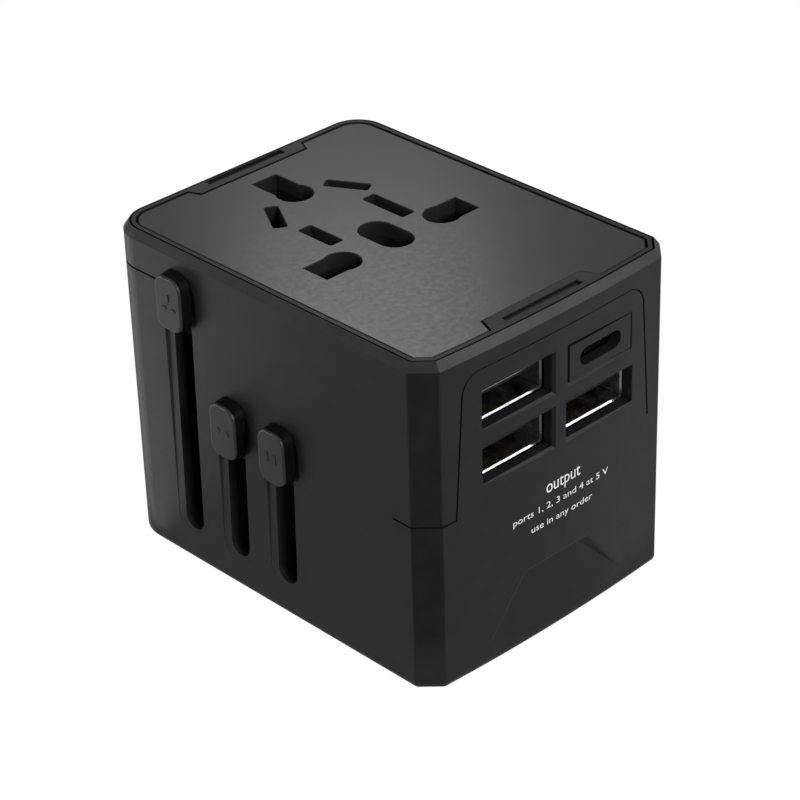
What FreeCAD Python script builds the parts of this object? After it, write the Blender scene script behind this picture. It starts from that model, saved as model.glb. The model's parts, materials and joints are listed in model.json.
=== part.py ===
"""Universal travel adapter: a pocket box with a universal socket on top, four
USB ports on the front and three sets of plug pins that slide out of the base.

Frame: millimetres, +Z up. The origin is the centre of the base, -Y is the USB
face, -X is the face with the three slider knobs, and +Z is the socket face.
Each node is one STEP file; identical small pieces share a node.
"""
import FreeCAD, Part
import math
import os
from FreeCAD import Vector as V

# ---------------------------------------------------------------- the body
BODY_X = 48.5
BODY_Y = 63.5
BODY_Z = 51.0
WALL = 1.8
FLOOR = 2.0
FRONT_BOW = 0.7             # how far the USB face swells at its middle
FRONT_CHAMFER = 2.9         # 45 degree corners beside the USB face
BACK_RADIUS = 5.5           # round corners at the back
CORNER_EASE = 0.6           # fillet on the chamfers' vertical edges
BASE_FILLET = 1.2
RIM_BEVEL_IN = 0.85         # bevel round the top rim, inwards
RIM_BEVEL_DOWN = 1.2        # and downwards
FACE_X = BODY_X / 2
FACE_Y = BODY_Y / 2

# ---------------------------------------------------- fits and clearances
GAP = 0.1                   # between fitted fixed pieces
RUNNING = 0.06              # radial clearance of a turning fit
SLIDING = 0.3               # clearance of a slider in its slot
SEAM_GROOVE = 0.3           # width of the visible seam line
SEAM_DEPTH = 0.45
SEAM_RUN_ON = 3.5           # the line runs this far past each front corner

# ------------------------------------------------- split of the two shells
SEAM_Z = 26.2
BACK_SEAM_Z = 45.0          # the lower shell climbs at the back
BACK_SEAM_Y = 19.4
TONGUE_BOTTOM_HALF = 18.8   # the lower shell's tongue that carries the ports
TONGUE_TOP_HALF = 17.2
TONGUE_TOP_Z = 47.4
TONGUE_CORNER = 3.0

# --------------------------------------------------------- the top stack
PLATE_THICK = 2.3
TOP_STACK = 4.9             # from the top face to the deck's underside, above the ports
DECK_THICK = TOP_STACK - PLATE_THICK
PLATE_SINK = 0.1            # the plate lies this far below the bezel
SEAT_Z = BODY_Z - PLATE_THICK - PLATE_SINK
DECK_BOTTOM = SEAT_Z - DECK_THICK
BEZEL_INSET = 0.9           # from the body's faces to the bezel's groove
RING_GROOVE = 0.3           # groove on either side of the bezel
PLATE_INSET = 2.1
LEDGE_INSET = 2.7
PLATE_EASE = 0.12           # chamfer on the plate's and the holes' edges
FRONT_TAB = (10.5, 9.3, 2.55)   # half base, half tip, depth
TAB_GROOVE = 0.2
REAR_TAB = (11.0, 10.0, 1.65)
WINDOW_HALF = 7.1           # the indicator strips
WINDOW_WIDE = 1.0
WINDOW_SINK = 0.45
WINDOW_EASE = 0.15          # bevel round each strip's slot
FRONT_WINDOW_IN = 2.8       # from the USB face to the strip's centre line
WINDOW_RIM = 0.25           # wall left outside the rear strip's slot
REAR_WINDOW_IN = BEZEL_INSET + RING_GROOVE + WINDOW_RIM + WINDOW_WIDE / 2

# ------------------------------------------------ the universal socket
SOCKET_X = -0.8             # the socket stands a little off centre
US_PITCH = 12.7
US_SLOT_WIDE = 2.3
US_LONG = (1.8, 10.0)       # the neutral slot's ends in Y
US_SHORT = (2.9, 9.5)
AU_HALF_PITCH = 6.86
AU_Y = 14.85
AU_LONG = 6.6
AU_WIDE = 2.0
AU_TILT = 30.0
UK_EARTH_WIDE = 4.5
UK_EARTH_TOP_Y = 24.9
UK_EARTH_ROUND = (18.4, 2.7)    # centre in Y and radius of the round end
SLOT_EASE = 0.35            # rounding of the blade slots' corners
LIVE_Y = -1.55
LIVE_OUT = 14.5             # half width over the two large holes
LIVE_TALL = 4.7
EU_HALF_PITCH = 9.5
EU_HOLE_R = 2.65
GROUND_SIZE = (5.2, 8.9)    # the middle hole
GROUND_Y = -0.2

# ----------------------------------------------------- the USB face
PORT_COLUMNS = (-7.4, 8.7)
PORT_ROWS = (32.75, 41.2)
PORT_WINDOW = (13.3, 5.8)
PORT_WINDOW_EASE = 0.3
PORT_SHELL = (13.1, 5.72)
PORT_METAL = 0.3
PORT_LIP = 0.2              # bevel inside the mouth of the metal
PORT_RECESS = 2.1           # from the USB face's middle to the metal shells
PORT_DEPTH = 13.4
SPRING_TAB = (2.5, 5.0, 6.0)    # width, length and tilt of a spring tab
TONGUE_SIZE = (11.1, 1.85, 8.8)
TONGUE_TIP = 0.15           # metal band over the tongue's front edge
TIP_BAND = 1.3              # height of the bright band below the tongue's top
TONGUE_BLOCK = 3.4          # depth of the plastic block that holds a tongue
SPRING_START = 1.6          # from a shell's mouth to its spring tabs
INSERT_SIZE = (12.8, 5.7)   # plate that frames the small port
TONGUE_TOP = PORT_SHELL[1] / 2 - PORT_METAL - 0.75      # above a port's centre
C_SLOT = (8.34, 2.56)
C_METAL = 0.3
C_DEPTH = 7.35
RECESS_BOTTOM_HALF = 0.305 * BODY_X   # trapezoid hollow low on the USB face
RECESS_TOP_HALF = 0.13 * BODY_X
RECESS_Z = (1.6, 12.2)
RECESS_DEPTH = 1.3          # at its upper edge; it runs out to nothing below
RECESS_SLOPE = 1.0          # width of its sloping sides
RECESS_EASE = 0.6

# --------------------------------------------------- the sliders
KNOB_YS = {"uk": 17.0, "eu": 7.1, "us": -2.9}
KNOB_SIZE = (5.6, 9.0)      # at its foot
KNOB_FACE = (5.1, 8.1)
KNOB_CORNER = 2.2
KNOB_FACE_CORNER = 1.7
KNOB_OUT = 2.0
KNOB_CAP = 0.35             # thickness of the cap on its face
KNOB_EASE = 0.28
MARK_RAISE = 0.12           # height of the raised mark on each cap
KNOB_TOP_DROP = 7.4         # from the top face to the raised knob's centre
SHORT_STROKE = 18.0         # of the EU and US pins
SLOT_WIDE = 3.8
SLOT_BOTTOM = 5.8
NECK_HALF_Y = SLOT_WIDE / 2 - SLIDING
NECK_HALF_Z = 3.1
KNOB_END_Z = SLOT_BOTTOM + NECK_HALF_Z + SLIDING    # centre of a lowered knob
TRACK_MARGIN = 1.6          # shallow track round each slot
TRACK_DEPTH = 0.5           # behind a raised knob; it runs out downwards
GUIDE_THICK = 0.7           # ribs inside, beside the slots
UK_STROKE = BODY_Z - KNOB_TOP_DROP - KNOB_END_Z

# ----------------------------------------- plug pins and their carriages
FLOOR_CLEAR = 0.6           # under a carriage at the end of its stroke
CARRIAGE_TALL = 7.7
UK_CARRIAGE_TALL = 4.5
PIN_INSIDE = 0.4            # how far the resting tips lie inside the base
US_PINS_Y = -4.2
EU_PINS_Y = 3.8
UK_LIVE_Y = -10.6
UK_EARTH_PITCH = 22.2       # from the live pins' line to the earth pin
UK_HALF_PITCH = 11.1
UK_PIN = (6.35, 4.0)
UK_EARTH = (4.0, 8.0)
UK_PIN_LONG = 17.7          # that stands out of the base when extended
UK_EARTH_LONG = 22.7
BLADE = (1.5, 6.35)
EU_PIN_R = 2.4
SLEEVE = 0.5                # thickness of an insulating sleeve
SLEEVE_LONG = 9.0
TURRET_R = 3.5
CARRIAGE_LEFT = -14.5
CARRIAGE_RIGHT = 13.5
BUS_LEFT = CARRIAGE_LEFT - 2.7
BUS_RIGHT = CARRIAGE_RIGHT + 0.9
BUS_CLEAR = 0.2             # between a wiper and its bus bar
UK_STRIP = 4.3              # width of the UK carriage's rear strip
UK_SIDE_IN = 15.0           # inner edge of its side strip
UK_EARTH_Y0 = UK_LIVE_Y + UK_EARTH_PITCH
PIN_HOLE_CLEAR = 0.3

# ------------------------------------------------------- the inside
LEAF = 0.5                  # thickness of the brass strips
CONTACT_Z = (33.0, 42.5)
BUS_Z0 = 3.0
SHUTTER_THICK = 2.2
SHUTTER_STROKE = 6.0
SHUTTER_TOP = DECK_BOTTOM - 0.2
SHUTTER_BRIDGE = 4.0        # from the pads to the shutter's front edge
SPRING_SOLID = 1.6          # length of a fully pressed spring
FUSE_R = 2.6
FUSE_LONG = 20.0
FUSE_CAP = 4.5
POST_R = 2.6
FRONT_POST = (18.2, 9.25)   # half pitch, and distance behind the USB face
REAR_POST = (12.0, 10.45)   # half pitch, and distance before the back face
SCREW_SHANK_R = 1.1
SCREW_HEAD_R = 2.0
SCREW_HEAD_THICK = 1.6
SCREW_LONG = 11.0
HEAD_SEAT_Z = 18.0
BOARD_THICK = 1.2
BOARD_Y = -FACE_Y + PORT_RECESS + PORT_DEPTH
PARTITION_THICK = 0.6


# ================================================================ helpers
def box(x0, x1, y0, y1, z0, z1):
    """Box between two corners."""
    return Part.makeBox(x1 - x0, y1 - y0, z1 - z0, V(x0, y0, z0))


def upright(x, y, radius, z0, z1):
    """Cylinder along Z."""
    return Part.makeCylinder(radius, z1 - z0, V(x, y, z0))


def along_y(x, z, radius, y0, y1):
    """Cylinder along Y."""
    return Part.makeCylinder(radius, y1 - y0, V(x, y0, z), V(0, 1, 0))


def fuse(shapes):
    """One clean shape from several that touch or overlap."""
    first, rest = shapes[0], shapes[1:]
    return first.fuse(rest).removeSplitter() if rest else first


def group(shapes):
    """Several separate solids in one node."""
    solids = [solid for shape in shapes for solid in shape.Solids]
    return Part.makeCompound(solids)


def polygon_prism(points, z0, z1):
    """Upright prism over a closed list of (x, y) points."""
    ring = [V(x, y, z0) for x, y in points]
    wire = Part.makePolygon(ring + [ring[0]])
    return Part.Face(wire).extrude(V(0, 0, z1 - z0))


def body_outline(inset, z):
    """Plan of the body, moved inwards: bowed front, chamfered front corners,
    round back corners."""
    half = FACE_X - inset
    back = FACE_Y - inset
    front = -FACE_Y + FRONT_BOW + inset
    leg = max(FRONT_CHAMFER - (2 - math.sqrt(2)) * inset, CORNER_EASE)
    radius = max(BACK_RADIUS - inset, CORNER_EASE)
    mid = radius * (1 - math.sqrt(0.5))
    left_front = V(-half + leg, front, z)
    right_front = V(half - leg, front, z)
    right_low = V(half, front + leg, z)
    right_high = V(half, back - radius, z)
    back_right = V(half - radius, back, z)
    back_left = V(-half + radius, back, z)
    left_high = V(-half, back - radius, z)
    left_low = V(-half, front + leg, z)
    edges = [
        Part.Arc(left_front, V(0, front - FRONT_BOW, z), right_front).toShape(),
        Part.LineSegment(right_front, right_low).toShape(),
        Part.LineSegment(right_low, right_high).toShape(),
        Part.Arc(right_high, V(half - mid, back - mid, z), back_right).toShape(),
        Part.LineSegment(back_right, back_left).toShape(),
        Part.Arc(back_left, V(-half + mid, back - mid, z), left_high).toShape(),
        Part.LineSegment(left_high, left_low).toShape(),
        Part.LineSegment(left_low, left_front).toShape(),
    ]
    return Part.Wire(edges)


def body_prism(inset, z0, z1):
    """Upright prism over the body's plan, moved inwards."""
    return Part.Face(body_outline(inset, z0)).extrude(V(0, 0, z1 - z0))


def edges_at(shape, test):
    """The shape's edges whose two ends and middle all pass a test."""
    chosen = []
    for edge in shape.Edges:
        middle = edge.valueAt((edge.FirstParameter + edge.LastParameter) / 2)
        ends = [vertex.Point for vertex in edge.Vertexes]
        if all(test(point) for point in ends + [middle]):
            chosen.append(edge)
    return chosen


def side_slot(y, z0, z1, width, x0, x1):
    """Round-ended slot along Z, cut in the X direction. z0 and z1 are the
    slot's two ends."""
    radius = width / 2
    middle = box(x0, x1, y - radius, y + radius, z0 + radius, z1 - radius)
    ends = [
        Part.makeCylinder(radius, x1 - x0, V(x0, y, z), V(1, 0, 0))
        for z in (z0 + radius, z1 - radius)
    ]
    return fuse([middle] + ends)


def stadium(x, y, low, high, half):
    """Round-ended outline in the plane across X. low and high are the centres
    of its two ends."""
    return Part.Wire([
        Part.Arc(V(x, y - half, low), V(x, y, low - half), V(x, y + half, low)).toShape(),
        Part.LineSegment(V(x, y + half, low), V(x, y + half, high)).toShape(),
        Part.Arc(V(x, y + half, high), V(x, y, high + half), V(x, y - half, high)).toShape(),
        Part.LineSegment(V(x, y - half, high), V(x, y - half, low)).toShape(),
    ])


def rounded_outline(x, y, z, size, radius):
    """Rounded rectangle in the plane across X."""
    cut = radius * (1 - math.sqrt(0.5))
    arcs = []
    for side_y, side_z in ((1, -1), (1, 1), (-1, 1), (-1, -1)):
        corner = V(x, y + side_y * size[0] / 2, z + side_z * size[1] / 2)
        on_level = corner + V(0, -side_y * radius, 0)
        on_side = corner + V(0, 0, -side_z * radius)
        middle = corner + V(0, -side_y * cut, -side_z * cut)
        ends = (on_level, on_side) if side_y * side_z < 0 else (on_side, on_level)
        arcs.append((ends[0], middle, ends[1]))
    edges = []
    for index, arc in enumerate(arcs):
        edges.append(Part.Arc(*arc).toShape())
        following = arcs[(index + 1) % len(arcs)]
        edges.append(Part.LineSegment(arc[2], following[0]).toShape())
    return Part.Wire(edges)


def eased_slot(half, long, radius, z0, z1):
    """Upright rectangular slot along Y with rounded corners, about the origin."""
    slot = box(-half, half, -long / 2, long / 2, z0, z1)
    upright_edges = [e for e in slot.Edges if abs(e.Vertexes[0].Z - e.Vertexes[-1].Z) > (z1 - z0) / 2]
    return slot.makeFillet(radius, upright_edges)


def strip(points, z0, z1, thickness=LEAF):
    """Upright metal strip bent along a line of (x, y) points."""
    pieces = []
    for (xa, ya), (xb, yb) in zip(points, points[1:]):
        length = math.hypot(xb - xa, yb - ya)
        plate = box(0, length, -thickness / 2, thickness / 2, z0, z1)
        plate.rotate(V(0, 0, 0), V(0, 0, 1), math.degrees(math.atan2(yb - ya, xb - xa)))
        plate.translate(V(xa, ya, 0))
        pieces.append(plate)
    bends = [upright(x, y, thickness / 2, z0, z1) for x, y in points[1:-1]]
    return fuse(pieces + bends)


def rounded_front_box(x, z, width, height, radius, y0, y1):
    """Box along Y with rounded long edges, centred on (x, z)."""
    block = box(x - width / 2, x + width / 2, y0, y1, z - height / 2, z + height / 2)
    long_edges = [
        edge for edge in block.Edges
        if abs(edge.Vertexes[0].Y - edge.Vertexes[-1].Y) > (y1 - y0) / 2
    ]
    return block.makeFillet(radius, long_edges)


# ============================================================ socket holes
def live_hole(side, grow, z0, z1):
    """Large hole of one live pole: a rectangle with a round inner end."""
    centre = SOCKET_X + side * EU_HALF_PITCH
    outer = SOCKET_X + side * (LIVE_OUT + grow)
    tall = LIVE_TALL / 2 + grow
    block = box(min(centre, outer), max(centre, outer), LIVE_Y - tall, LIVE_Y + tall, z0, z1)
    return fuse([block, upright(centre, LIVE_Y, EU_HOLE_R + grow, z0, z1)])


def us_slot(side, ends, grow, z0, z1):
    """Straight slot of one flat blade."""
    long = ends[1] - ends[0] + 2 * grow
    slot = eased_slot(US_SLOT_WIDE / 2 + grow, long, SLOT_EASE, z0, z1)
    slot.translate(V(SOCKET_X + side * US_PITCH / 2, (ends[0] + ends[1]) / 2, 0))
    return slot


def au_slot(side, grow, z0, z1):
    """Tilted slot of one flat blade."""
    slot = eased_slot(AU_WIDE / 2 + grow, AU_LONG + 2 * grow, SLOT_EASE, z0, z1)
    slot.rotate(V(0, 0, 0), V(0, 0, 1), side * AU_TILT)
    slot.translate(V(SOCKET_X + side * AU_HALF_PITCH, AU_Y, 0))
    return slot


def earth_hole(grow, z0, z1):
    """Large earth hole: a rectangle that ends in a wider circle."""
    half = UK_EARTH_WIDE / 2 + grow
    centre, radius = UK_EARTH_ROUND
    block = box(SOCKET_X - half, SOCKET_X + half, centre, UK_EARTH_TOP_Y + grow, z0, z1)
    return fuse([block, upright(SOCKET_X, centre, radius + grow, z0, z1)])


def ground_hole(grow, z0, z1):
    """Middle hole with round ends."""
    half_x = GROUND_SIZE[0] / 2
    half_y = GROUND_SIZE[1] / 2 - half_x
    block = box(
        SOCKET_X - half_x - grow, SOCKET_X + half_x + grow,
        GROUND_Y - half_y, GROUND_Y + half_y, z0, z1,
    )
    ends = [
        upright(SOCKET_X, GROUND_Y + side * half_y, half_x + grow, z0, z1)
        for side in (-1, 1)
    ]
    return fuse([block] + ends)


def socket_holes(grow, z0, z1):
    """All seven kinds of socket hole, each grown by the same amount."""
    return [
        live_hole(-1, grow, z0, z1),
        live_hole(1, grow, z0, z1),
        us_slot(-1, US_SHORT, grow, z0, z1),
        us_slot(1, US_LONG, grow, z0, z1),
        au_slot(-1, grow, z0, z1),
        au_slot(1, grow, z0, z1),
        earth_hole(grow, z0, z1),
        ground_hole(grow, z0, z1),
    ]


# ================================================================ casing
def body_block():
    """The body's outer form, solid, with its bevel and fillets."""
    block = body_prism(0, 0, BODY_Z)
    front = -FACE_Y + FRONT_BOW + FRONT_CHAMFER + 0.1
    upright_edges = [
        edge for edge in block.Edges
        if abs(edge.Vertexes[0].Z - edge.Vertexes[-1].Z) > BODY_Z / 2
        and edge.Vertexes[0].Y < front
    ]
    block = block.makeFillet(CORNER_EASE, upright_edges)
    block = block.makeFillet(BASE_FILLET, edges_at(block, lambda p: abs(p.z) < 1e-4))
    return bevel_rim(block)


def bevel_rim(block):
    """Cut the sloping bevel round the top rim."""
    low = body_outline(0, BODY_Z - RIM_BEVEL_DOWN)
    high = body_outline(RIM_BEVEL_IN, BODY_Z)
    cap = Part.makeLoft([low, high], True, True)
    above = box(-BODY_X, BODY_X, -BODY_Y, BODY_Y, BODY_Z - RIM_BEVEL_DOWN, BODY_Z + 1)
    return block.cut(above.cut(cap))


def front_trapezoid(bottom_half, top_half, z0, z1, corner, y0, y1):
    """Upright trapezoid extruded along Y, its two upper corners rounded."""
    ring = [V(-bottom_half, y0, z0), V(bottom_half, y0, z0), V(top_half, y0, z1), V(-top_half, y0, z1)]
    wire = Part.makePolygon(ring + [ring[0]])
    block = Part.Face(wire).extrude(V(0, y1 - y0, 0))
    top_edges = [
        edge for edge in block.Edges
        if abs(edge.Vertexes[0].Y - edge.Vertexes[-1].Y) > abs(y1 - y0) / 2
        and edge.Vertexes[0].Z > (z0 + z1) / 2
    ]
    return block.makeFillet(corner, top_edges)


def lower_region(grow):
    """Space that belongs to the lower shell: the base, the higher back and
    the tongue on the USB face."""
    base = box(-BODY_X, BODY_X, -BODY_Y, BODY_Y, -1, SEAM_Z + grow)
    back = box(-BODY_X, BODY_X, BACK_SEAM_Y - grow, BODY_Y, -1, BACK_SEAM_Z + grow)
    tongue = front_trapezoid(
        TONGUE_BOTTOM_HALF + grow, TONGUE_TOP_HALF + grow, SEAM_Z - 1, TONGUE_TOP_Z + grow / 2,
        TONGUE_CORNER + grow, -FACE_Y - 1, -FACE_Y + FRONT_BOW + WALL + 1,
    )
    return fuse([base, back, tongue])


def front_recess():
    """Hollow low on the USB face: a trapezoid with sloping sides whose floor
    is deepest at the top and runs out to the face at the bottom."""
    face = -FACE_Y
    z0, z1 = RECESS_Z
    rings = []
    for y, inset in ((face - 0.5, -0.5), (face + 2 * RECESS_DEPTH, 2 * RECESS_DEPTH)):
        slope = inset * RECESS_SLOPE / RECESS_DEPTH
        low, high = RECESS_BOTTOM_HALF - slope, RECESS_TOP_HALF - slope
        ring = [V(-low, y, z0), V(low, y, z0), V(high, y, z1 - slope), V(-high, y, z1 - slope)]
        rings.append(Part.makePolygon(ring + [ring[0]]))
    sides = Part.makeLoft(rings, True, True)
    reach = 2 * RECESS_BOTTOM_HALF
    keep = [
        V(-reach, face - 1, z0),
        V(-reach, face, z0),
        V(-reach, face + RECESS_DEPTH, z1),
        V(-reach, face + RECESS_DEPTH, z1 + 1),
        V(-reach, face - 1, z1 + 1),
    ]
    wedge = Part.Face(Part.makePolygon(keep + [keep[0]])).extrude(V(2 * reach, 0, 0))
    return sides.common(wedge)


def on_recess_edge(point):
    """Whether a point lies on the recess's upper or side edges."""
    bow = FRONT_BOW * (point.x / (FACE_X - FRONT_CHAMFER)) ** 2
    inside = abs(point.x) < RECESS_BOTTOM_HALF + 0.2
    level = RECESS_Z[0] - 0.01 < point.z < RECESS_Z[1] + RECESS_SLOPE
    return inside and level and abs(point.y + FACE_Y - bow) < 0.02


def port_window(x, z, width, height):
    """Cutter for a window in the USB face, with a small bevel at the front."""
    y0 = -FACE_Y - 1
    y1 = -FACE_Y + FRONT_BOW + WALL + 1
    through = box(x - width / 2, x + width / 2, y0, y1, z - height / 2, z + height / 2)
    ease = PORT_WINDOW_EASE
    mouth = Part.makeWedge(
        -width / 2 - ease - 1, -1, -height / 2 - ease - 1, -height / 2, -width / 2,
        width / 2 + ease + 1, ease, height / 2 + ease + 1, height / 2, width / 2,
    )
    face = -FACE_Y + FRONT_BOW * (x / (FACE_X - FRONT_CHAMFER)) ** 2
    mouth.translate(V(x, face, z))
    return fuse([through, mouth])


def knob_rest_z(name):
    """Height of a raised knob's centre."""
    return KNOB_END_Z + (UK_STROKE if name == "uk" else SHORT_STROKE)


def slider_track(name):
    """Shallow track round one slot: sloping sides, and a floor that runs out
    to the face at the bottom. Its top end hides behind the raised knob."""
    y = KNOB_YS[name]
    half = SLOT_WIDE / 2 + TRACK_MARGIN
    low = SLOT_BOTTOM + SLOT_WIDE / 2
    top = knob_rest_z(name) + KNOB_SIZE[1] / 2 - TRACK_DEPTH
    high = top - half
    rings = [
        stadium(-FACE_X - 1, y, low, high, half + 1),
        stadium(-FACE_X + TRACK_DEPTH, y, low, high, half - TRACK_DEPTH),
    ]
    sides = Part.makeLoft(rings, True, True)
    ramp = [
        V(-FACE_X - 2, y - 2 * half, low - half - 3),
        V(-FACE_X - 2, y - 2 * half, top + 3),
        V(-FACE_X + TRACK_DEPTH, y - 2 * half, top + 3),
        V(-FACE_X + TRACK_DEPTH, y - 2 * half, top),
        V(-FACE_X, y - 2 * half, low - half),
    ]
    wedge = Part.Face(Part.makePolygon(ramp + [ramp[0]])).extrude(V(0, 4 * half, 0))
    return sides.common(wedge)


def slider_cutters():
    """Three through slots on the knob side, each in its own shallow track."""
    cutters = []
    for name, y in KNOB_YS.items():
        top = knob_rest_z(name) + NECK_HALF_Z + 2 * SLIDING
        inner = -FACE_X + WALL + SLIDING + GAP
        cutters.append(side_slot(y, SLOT_BOTTOM, top, SLOT_WIDE, -FACE_X - 1, inner))
        cutters.append(slider_track(name))
    return cutters


def guide_ribs():
    """Two ribs on the floor that stand beside the short arms."""
    x0 = -FACE_X + WALL + GAP
    x1 = BUS_LEFT - LEAF / 2 - SLIDING
    ribs = []
    for name in ("eu", "us"):
        y0 = KNOB_YS[name] + SLOT_WIDE / 2
        ribs.append(box(x0, x1, y0, y0 + GUIDE_THICK, FLOOR / 2, CONTACT_Z[0]))
    return ribs


def seam_line():
    """Space of the visible seam line: on the USB face, just past its corners
    and round the back."""
    band = body_prism(-1, -1, BODY_Z).cut(body_prism(SEAM_DEPTH, -2, BODY_Z + 1))
    front = -FACE_Y + FRONT_BOW + FRONT_CHAMFER + SEAM_RUN_ON
    back = BACK_SEAM_Y + SEAM_RUN_ON / 2
    zones = [
        box(-BODY_X, TONGUE_BOTTOM_HALF + SEAM_GROOVE, -BODY_Y, front, -1, BODY_Z),
        box(-BODY_X, BODY_X, back, BODY_Y, -1, BODY_Z),
    ]
    return lower_region(SEAM_GROOVE).common(band).common(Part.makeCompound(zones))


def plug_holes(z0, z1):
    """Holes in the base for every plug pin."""
    clear = PIN_HOLE_CLEAR
    holes = []
    for side in (-1, 1):
        x = SOCKET_X + side * UK_HALF_PITCH
        half_x, half_y = UK_PIN[0] / 2 + clear, UK_PIN[1] / 2 + clear
        holes.append(box(x - half_x, x + half_x, UK_LIVE_Y - half_y, UK_LIVE_Y + half_y, z0, z1))
        holes.append(upright(SOCKET_X + side * US_PITCH / 2, US_PINS_Y, BLADE[1] / 2 + 0.5, z0, z1))
        holes.append(upright(SOCKET_X + side * EU_HALF_PITCH, EU_PINS_Y, EU_PIN_R + clear, z0, z1))
    half_x, half_y = UK_EARTH[0] / 2 + clear, UK_EARTH[1] / 2 + clear
    holes.append(box(
        SOCKET_X - half_x, SOCKET_X + half_x, UK_EARTH_Y0 - half_y, UK_EARTH_Y0 + half_y, z0, z1,
    ))
    return holes


def post_places():
    """Centres of the four screw posts."""
    front_y = -FACE_Y + FRONT_POST[1]
    rear_y = FACE_Y - REAR_POST[1]
    return [
        (-FRONT_POST[0], front_y),
        (FRONT_POST[0], front_y),
        (SOCKET_X - REAR_POST[0], rear_y),
        (SOCKET_X + REAR_POST[0], rear_y),
    ]


def casing():
    """Lower and upper shell, cut from one hollow body along the seam."""
    hollow = fuse([
        body_prism(WALL, FLOOR, DECK_BOTTOM),
        body_prism(LEDGE_INSET, DECK_BOTTOM - 1, SEAT_Z + 1),
        body_prism(BEZEL_INSET, SEAT_Z, BODY_Z + 1),
    ])
    block = body_block().cut(front_recess())
    eased = edges_at(block, on_recess_edge)
    block = block.makeFillet(RECESS_EASE, eased)
    shell = block.cut([hollow] + slider_cutters())
    windows = [
        port_window(PORT_COLUMNS[0], PORT_ROWS[0], *PORT_WINDOW),
        port_window(PORT_COLUMNS[1], PORT_ROWS[0], *PORT_WINDOW),
        port_window(PORT_COLUMNS[0], PORT_ROWS[1], *PORT_WINDOW),
        port_window(PORT_COLUMNS[1], PORT_ROWS[1], *INSERT_SIZE),
    ]
    shell = shell.cut(windows + plug_holes(-1, FLOOR + 1))
    lower = shell.common(lower_region(0))
    upper = shell.cut([lower_region(0), seam_line()])
    posts = [upright(x, y, POST_R, FLOOR / 2, SEAM_Z) for x, y in post_places()]
    lower = fuse([lower] + posts + guide_ribs())
    bores = [upright(x, y, SCREW_HEAD_R + 0.2, -1, HEAD_SEAT_Z) for x, y in post_places()]
    bores += [upright(x, y, SCREW_SHANK_R, 0, SEAM_Z + 1) for x, y in post_places()]
    return lower.cut(bores), upper


def case_screws():
    """Four case screws, with a cross in each head, up inside the posts."""
    screws = []
    for x, y in post_places():
        head = upright(x, y, SCREW_HEAD_R, HEAD_SEAT_Z - SCREW_HEAD_THICK, HEAD_SEAT_Z)
        z0 = HEAD_SEAT_Z - SCREW_HEAD_THICK - 0.1
        arm = SCREW_HEAD_R * 0.6
        cross = [
            box(x - arm, x + arm, y - 0.25, y + 0.25, z0, z0 + 0.9),
            box(x - 0.25, x + 0.25, y - arm, y + arm, z0, z0 + 0.9),
        ]
        shank = upright(x, y, SCREW_SHANK_R, HEAD_SEAT_Z - 0.5, HEAD_SEAT_Z + SCREW_LONG)
        screws.append(fuse([head, shank]).cut(cross))
    return group(screws)


# ============================================================ the top stack
def tab_prism(sign, tab, grow, z0, z1):
    """Trapezoid tab of the bezel, from its ring into the plate."""
    base_half, tip_half, depth = tab
    base_y = sign * (FACE_Y - PLATE_INSET + RING_GROOVE + GAP)
    tip_y = sign * (FACE_Y - PLATE_INSET - depth - grow)
    points = [
        (-base_half - grow, base_y),
        (base_half + grow, base_y),
        (tip_half + grow, tip_y),
        (-tip_half - grow, tip_y),
    ]
    return polygon_prism(points, z0, z1)


def window_prism(sign, grow, z0, z1):
    """Long slot of an indicator strip."""
    offset = FRONT_WINDOW_IN if sign < 0 else REAR_WINDOW_IN
    y = sign * (FACE_Y - offset)
    half = WINDOW_WIDE / 2 + grow
    return box(-WINDOW_HALF - grow, WINDOW_HALF + grow, y - half, y + half, z0, z1)


def top_bezel():
    """Thin ring round the socket plate, with a tab at each short end."""
    inside = body_prism(BEZEL_INSET + RING_GROOVE, SEAT_Z, BODY_Z)
    ring = inside.cut(body_prism(PLATE_INSET - RING_GROOVE, SEAT_Z - 1, BODY_Z + 1))
    front = tab_prism(-1, FRONT_TAB, 0, SEAT_Z, BODY_Z).common(inside)
    rear = tab_prism(1, REAR_TAB, 0, SEAT_Z, BODY_Z).common(inside)
    whole = fuse([ring, front, rear])
    whole = whole.cut([window_prism(side, 0, SEAT_Z - 1, BODY_Z + 1) for side in (-1, 1)])

    def on_slot(point):
        across = min(abs(abs(point.y) - FACE_Y + place) for place in (FRONT_WINDOW_IN, REAR_WINDOW_IN))
        near = abs(point.x) < WINDOW_HALF + 0.01 and across < WINDOW_WIDE / 2 + 0.01
        return near and abs(point.z - BODY_Z) < 1e-4

    return whole.makeChamfer(WINDOW_EASE, edges_at(whole, on_slot))


def indicator_window(sign):
    """Milky strip that an indicator lamp shines through."""
    return window_prism(sign, -GAP / 4, SEAT_Z, BODY_Z - WINDOW_SINK)


def socket_plate():
    """Glossy plate with the socket holes, edges eased."""
    top = BODY_Z - PLATE_SINK
    plate = body_prism(PLATE_INSET, SEAT_Z, top)
    tabs = [
        tab_prism(-1, FRONT_TAB, TAB_GROOVE, SEAT_Z - 1, BODY_Z + 1),
        tab_prism(1, REAR_TAB, TAB_GROOVE, SEAT_Z - 1, BODY_Z + 1),
    ]
    plate = plate.cut(tabs + socket_holes(0, SEAT_Z - 1, BODY_Z + 1))
    rim = edges_at(plate, lambda p: abs(p.z - top) < 1e-4)
    return plate.makeChamfer(PLATE_EASE, rim)


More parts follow.
